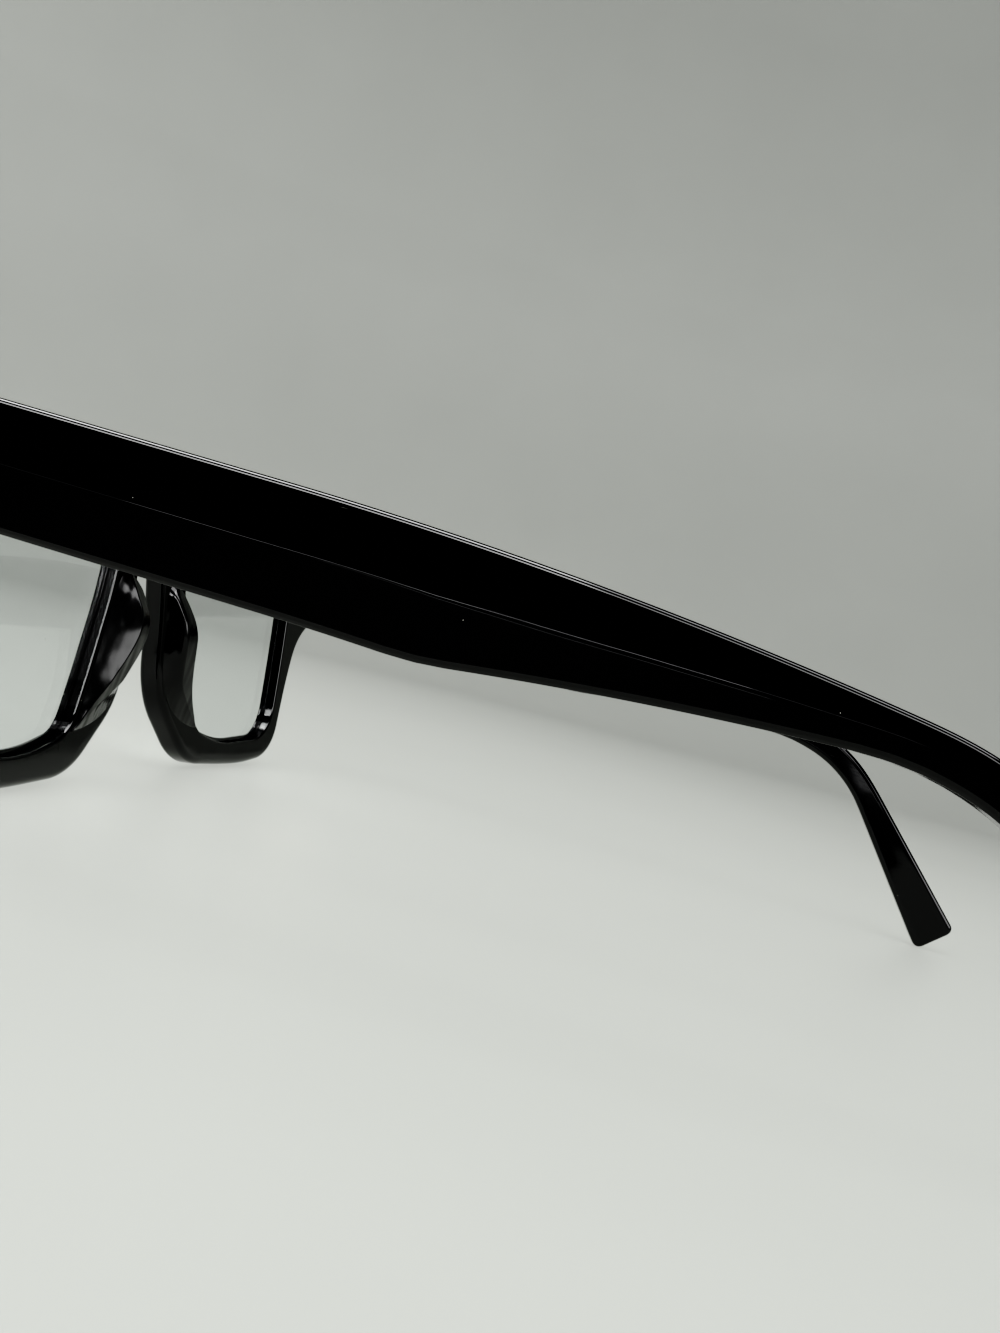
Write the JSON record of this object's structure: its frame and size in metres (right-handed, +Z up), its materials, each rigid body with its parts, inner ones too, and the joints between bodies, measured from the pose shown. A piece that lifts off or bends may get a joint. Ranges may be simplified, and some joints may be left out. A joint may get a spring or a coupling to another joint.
{
  "type": "square eyeglasses",
  "caption": "Square eyeglasses in thick black acetate with clear lenses, bonded nose pads and broad folding temples that taper to a slim ear bend and a blunt tip.",
  "frame": {"origin": "on the floor, under the middle of the glasses' width and of their length from the front to the temple tips", "axes": "+X towards the wearer's left, +Y back along the open temples, +Z up"},
  "size_m": [0.14, 0.1517, 0.0485],
  "materials": {
    "black_acetate": "tumble polished, high gloss",
    "clear_lens": "clear, polished",
    "hinge_metal": "barrel polished nickel silver",
    "core_metal": "drawn wire"
  },
  "bodies": {
    "front": {"front_frame": "black_acetate", "left_lens": "clear_lens", "right_lens": "clear_lens", "left_nose_pad": "black_acetate", "right_nose_pad": "black_acetate", "left_front_hinge": "hinge_metal", "right_front_hinge": "hinge_metal", "left_hinge_screw": "hinge_metal", "right_hinge_screw": "hinge_metal"},
    "left_arm": {"left_temple": "black_acetate", "left_core_wire": "core_metal", "left_temple_hinge": "hinge_metal"},
    "right_arm": {"right_temple": "black_acetate", "right_core_wire": "core_metal", "right_temple_hinge": "hinge_metal"}
  },
  "joints": [
    {"name": "left_temple_fold", "type": "hinge", "parent": "front", "child": "left_arm", "pos_m": [0.06407, -0.06446, 0.03943], "axis": [0, 0, 1], "range_deg": [0, 87]},
    {"name": "right_temple_fold", "type": "hinge", "parent": "front", "child": "right_arm", "pos_m": [-0.06407, -0.06446, 0.03943], "axis": [0, 0, -1], "range_deg": [0, 72]}
  ]
}
